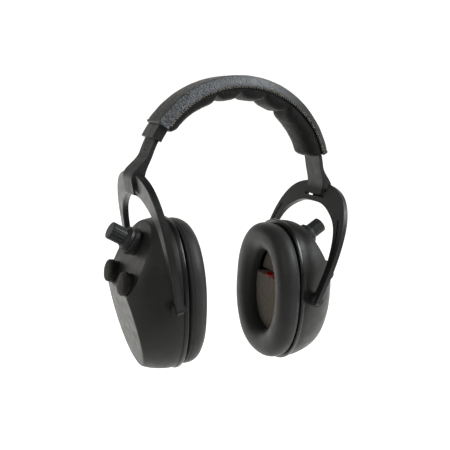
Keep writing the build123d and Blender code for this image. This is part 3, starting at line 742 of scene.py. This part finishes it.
def make_crease_shadow(label, sign, material):
    """Near-black tube along a hem: a painted shadow for the fold that the whip stitches pull in."""
    rows = []
    for i in range(CREASE_STEPS + 1):
        angle = SLEEVE_START + 0.3 + (SLEEVE_END - SLEEVE_START - 0.6) * i / CREASE_STEPS
        wave = 0.28 * MM * stitch_wave(angle, SLEEVE_HEM_R)
        wave += 0.2 * MM * noise.noise(Vector((angle * 0.8, sign * 3.0, 1.0)))
        hem = hem_radius(angle) + wave
        row = []
        for k in range(6):
            turn = 2 * math.pi * k / 6
            y = SLEEVE_HALF_WIDTH - 0.12 * MM + 0.30 * MM * math.sin(turn)
            row.append(band_point(angle, hem + 0.25 * MM + 0.62 * MM * math.cos(turn), sign * y))
        rows.append(row)
    crease = skin(f"{label}_hem_crease_shadow", rows, material, closed_rows=False)
    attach(crease, "headband")


def make_stitching(material, crease_shadow_material):
    """Whip stitches crossing over both hems, a painted crease shadow along each hem, and a row across each end of
    the sleeve.
    """
    pitch = math.degrees(STITCH_PITCH / SLEEVE_HEM_R)
    count = int((SLEEVE_END - SLEEVE_START - 1.2) / pitch)
    for label, sign in (("front", -1), ("rear", 1)):
        make_crease_shadow(label, sign, crease_shadow_material)
        paths = []
        outward = Vector((0, sign, 0))
        low_y, high_y = sign * (SLEEVE_HALF_WIDTH - 0.25 * MM), sign * (SLEEVE_HALF_WIDTH + 0.2 * MM)
        for k in range(count):
            angle = SLEEVE_START + 0.8 + k * pitch
            jitter = 0.18 * noise.noise(Vector((k * 1.37, sign * 2.0, 0.5)))
            hem = hem_radius(angle)
            low = band_point(angle + jitter, hem - 0.55 * MM, low_y)
            high = band_point(angle + 0.78 * pitch, hem + 1.15 * MM, high_y)
            back = band_point(angle + pitch + jitter, hem - 0.55 * MM, low_y)
            paths.append((low, high, outward * 0.42 * MM))
            if k % 3:
                paths.append((high, back, outward * 0.30 * MM))
        stitches(f"{label}_hem_stitches", paths, material, "headband")
    for label, edge, step in (("left", SLEEVE_END, -1), ("right", SLEEVE_START, 1)):
        paths = []
        outward = band_point(edge, 1.0, 0) - band_point(edge, 0.0, 0)
        for k in range(END_STITCHES):
            y = (k - (END_STITCHES - 1) / 2) * END_STITCH_PITCH
            start = band_point(edge + step, SLEEVE_TOP_R + 0.12 * MM, y - 0.6 * MM)
            end = band_point(edge + step, SLEEVE_TOP_R + 0.12 * MM, y + 0.75 * MM)
            paths.append((start, end, outward * 0.22 * MM))
        stitches(f"{label}_end_stitches", paths, material, "headband")


def make_cushion(side, material):
    """Ear cushion: a crowned ring, fullest just in front of the plate, with its welded seam at the back."""
    cup = Cup(side)
    rows = []
    for i in range(CUSHION_STEPS):
        turn = 2 * math.pi * i / CUSHION_STEPS
        outer = oval(turn, *CUSHION_OUTER)
        inner = oval(turn, *CUSHION_INNER, power=2.15)
        full = 1 + 0.02 * noise.noise(Vector((math.cos(turn) * 1.6, math.sin(turn) * 1.6, SIDES[side] * 3.0)))
        row = []
        for j in range(CUSHION_AROUND):
            angle = 2 * math.pi * j / CUSHION_AROUND
            c, s = math.cos(angle), math.sin(angle)
            if s >= 0:
                across = signed_power(c, 2 / (2.5 if c > 0 else 2.05))
                out = CUSHION_MIDDLE + (CUSHION_FRONT - CUSHION_MIDDLE) * full * abs(s) ** (2 / 2.15)
            else:
                tuck = 1 - 0.05 * smooth_step((abs(s) - 0.6) / 0.4)
                across = signed_power(c, 2 / 4.5) * tuck
                out = CUSHION_MIDDLE + (CUSHION_BACK - CUSHION_MIDDLE) * abs(s) ** (2 / 3.5)
            share = 0.5 + 0.5 * across
            behind = CUSHION_BACK - out
            seam = 0.30 * MM * math.exp(-((behind - 2.6 * MM) / (0.4 * MM)) ** 2) * (c > 0)
            pucker = noise.noise(Vector((math.cos(turn) * 26, math.sin(turn) * 26, behind / (1.3 * MM))))
            seam += 0.22 * MM * pucker * math.exp(-((behind - 4.0 * MM) / (2.4 * MM)) ** 2) * (c > 0)
            x = inner[0] + (outer[0] - inner[0]) * share
            up = inner[1] + (outer[1] - inner[1]) * share
            stretch = 1 - seam / CUSHION_OUTER[0]
            row.append(cup.point(x * stretch, CUP_CENTRE_UP + (up - CUP_CENTRE_UP) * stretch, out))
        rows.append(row)
    cushion = skin(f"{side}_vinyl_cushion", rows, material)
    subdivide(cushion)
    ripple(cushion, 0.18 * MM, 16 * MM, 2.0 + SIDES[side])
    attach(cushion, f"{side}_cup")
    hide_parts(f"{side}_ear_cushion")


def make_nut(side, material, groove_shade_material):
    """Knurled ring nut round the volume knob's axis, with flat-topped teeth and chamfered ends, and painted shade
    on the faces in its grooves.
    """
    joint = JOINTS[f"{side}_volume_turn"]
    centre, axis = Vector(joint["pos_m"]), Vector(joint["axis"]).normalized()
    across = Vector((0, 1, 0))
    other = axis.cross(across)
    old = [v.co - centre for v in NODES[f"{side}_knob_nut"].data.vertices]
    base = min(v.dot(axis) for v in old)
    top = max(v.dot(axis) for v in old)
    crest = max((v - axis * v.dot(axis)).length for v in old)
    shoulder = crest - NUT_GROOVE - 0.45 * MM
    rows = []
    count = NUT_TEETH * len(TOOTH_DEPTHS)
    for i in range(count):
        turn = 2 * math.pi * i / count
        ray = across * math.cos(turn) + other * math.sin(turn)
        radius = crest - NUT_GROOVE * TOOTH_DEPTHS[i % len(TOOTH_DEPTHS)]
        chamfered = min(radius, crest - NUT_CHAMFER)
        profile = (
            (NUT_BORE_R, base), (shoulder, base), (chamfered, base), (radius, base + NUT_CHAMFER),
            (radius, top - NUT_CHAMFER), (chamfered, top), (shoulder, top), (NUT_BORE_R, top),
        )
        rows.append([centre + ray * r + axis * h for r, h in profile])
    nut = skin(f"{side}_knurled_nut", rows, material)
    shade(nut.data, smooth=False)
    # Groove faces take a near-black material: painted shade in the grooves.
    nut.data.materials.append(groove_shade_material)
    for index, face in enumerate(nut.data.polygons):
        row, column = divmod(index, len(rows[0]))
        if row % len(TOOTH_DEPTHS) in GROOVE_ROWS and column in GROOVE_COLUMNS:
            face.material_index = 1
    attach(nut, f"{side}_cup")
    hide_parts(f"{side}_knob_nut")


def crown_foams(obj, cup):
    """Presses the two microphone foams towards their seats, most at their rims, into low domes."""
    facing = cup.out * math.cos(MIC_LEAN) + cup.up * math.sin(MIC_LEAN)
    along = facing.cross(cup.x)
    vertices = obj.data.vertices
    seat = min(v.co.dot(facing) for v in vertices)
    middle = sum(v.co.dot(along) for v in vertices) / len(vertices)
    for v in vertices:
        aside = abs((v.co - cup.origin).dot(cup.x)) - MIC_X
        rim = min(1.0, math.hypot(aside, v.co.dot(along) - middle) / MIC_R)
        v.co -= facing * (v.co.dot(facing) - seat) * (MIC_PRESS + MIC_CROWN * rim ** 2)


def soften(node, name, voxel, rounding, roughness, material, body, shape=None):
    """A foam piece grown from its plain solid: remeshed, rounded and given an uneven, porous skin."""
    obj = new_object(name, NODES[node].data.copy(), material)
    remesh = obj.modifiers.new("remesh", "REMESH")
    remesh.mode = "VOXEL"
    remesh.voxel_size = voxel
    smooth = obj.modifiers.new("smooth", "SMOOTH")
    smooth.iterations = rounding
    smooth.factor = 0.5
    apply_modifiers(obj)
    if shape:
        shape(obj)
    shade(obj.data, smooth=True)
    ripple(obj, roughness, 2.4 * MM, 6.0)
    ripple(obj, roughness * 0.6, 0.8 * MM, 1.0)
    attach(obj, body)
    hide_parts(node)


# ---------------------------------------------------------------- carried-over nodes

def paint_nodes():
    """A material for every CAD node that stays in view."""
    shell = moulded("shell_plastic", (0.018, 0.0177, 0.0152), 0.44)
    ring = moulded("ring_plastic", (0.010, 0.010, 0.0105), 0.30, coat=0.3)
    yoke = moulded("yoke_plastic", (0.012, 0.012, 0.0122), 0.42, coat=0.1)
    arm = moulded("arm_plastic", (0.011, 0.011, 0.0110), 0.50)
    knob = moulded("knob_plastic", (0.018, 0.0185, 0.020), 0.48, edge=0.5)
    black = moulded("black_plastic", (0.007, 0.007, 0.007), 0.6)
    steel = metal("steel", (0.56, 0.56, 0.58), 0.32)
    spring = metal("spring_steel", (0.33, 0.35, 0.38), 0.38, (1, 14, 1))
    plate = metal("plated_contact", (0.83, 0.82, 0.78), 0.22)
    cell = moulded("cell_sleeve", (0.06, 0.12, 0.26), 0.3, coat=0.4)
    looks = {
        "outer_shell": shell, "cushion_plate": ring, "yoke": yoke,
        "yoke_pin": metal("blackened_steel", (0.05, 0.05, 0.052), 0.4), "arm": arm,
        "slide_block": moulded("block_plastic", (0.016, 0.016, 0.0165), 0.40), "volume_knob": knob,
        "mic_rings": black, "mic_capsules": metal("capsule", (0.7, 0.7, 0.72), 0.35),
        "speaker": moulded("speaker_frame", (0.03, 0.03, 0.032), 0.5), "battery_tray": black,
        "batteries": cell, "battery_contacts": plate, "tray_screws": steel,
        "circuit_board": board("solder_mask", (0.015, 0.12, 0.045)),
        "battery_lead": moulded("red_insulation", (0.55, 0.012, 0.012), 0.4),
        "volume_pot": metal("pot_case", (0.6, 0.6, 0.62), 0.35),
        "band_spring": spring, "band_rivets": steel,
    }
    for name, obj in NODES.items():
        kind = name
        for side in SIDES:
            kind = kind.removeprefix(f"{side}_")
        if kind in looks:
            obj.data.materials.clear()
            obj.data.materials.append(looks[kind])


make_camera()
make_stage()
paint_nodes()

sleeve_look = leatherette("band_leatherette", (0.016, 0.016, 0.0158), 0.46,
                          pebble=0.7 * MM, depth=0.05 * MM, glint=1.2)
# Side panel colour: the band's leatherette made paler and bluer, painted light that the sides catch.
lit_panel_look = lit_grained_panel("lit_side_panel_leatherette", (0.100, 0.107, 0.116), 0.34)
pad_look = leatherette("pad_leatherette", (0.018, 0.018, 0.0175), 0.55,
                       pebble=0.8 * MM, depth=0.07 * MM, glint=1.3, specular=0.12)
thread_look = thread("waxed_thread", (0.36, 0.33, 0.275))
# Near-black material for the hem creases: painted shadow.
crease_shadow_look = moulded("crease_shadow", (0.004, 0.004, 0.004), 0.7, edge=0.0)
make_cover(sleeve_look, lit_panel_look)
make_padding(pad_look)
make_stitching(thread_look, crease_shadow_look)

cushion_look = vinyl("cushion_vinyl", (0.034, 0.034, 0.0331), 0.50)
nut_look = moulded("nut_plastic", (0.045, 0.045, 0.0450), 0.40, edge=0.5)
# Near-black material for the nut's groove faces: painted shade.
groove_shade_look = moulded("nut_groove_shade", (0.003, 0.003, 0.003), 0.7, edge=0.0)
liner_look = foam("liner_foam", (0.105, 0.090, 0.066), pore=0.9 * MM, depth=0.4 * MM)
mic_look = foam("mic_foam", (0.024, 0.021, 0.018), pore=0.75 * MM, depth=0.3 * MM)
for side_name in SIDES:
    make_cushion(side_name, cushion_look)
    make_nut(side_name, nut_look, groove_shade_look)
    soften(f"{side_name}_foam_liner", f"{side_name}_liner_leaves", 0.8 * MM, 2, 0.25 * MM, liner_look,
           f"{side_name}_cup")
    soften(f"{side_name}_mic_foams", f"{side_name}_mic_windscreens", 0.35 * MM, 8, 0.06 * MM, mic_look,
           f"{side_name}_cup", lambda obj, cup=Cup(side_name): crown_foams(obj, cup))
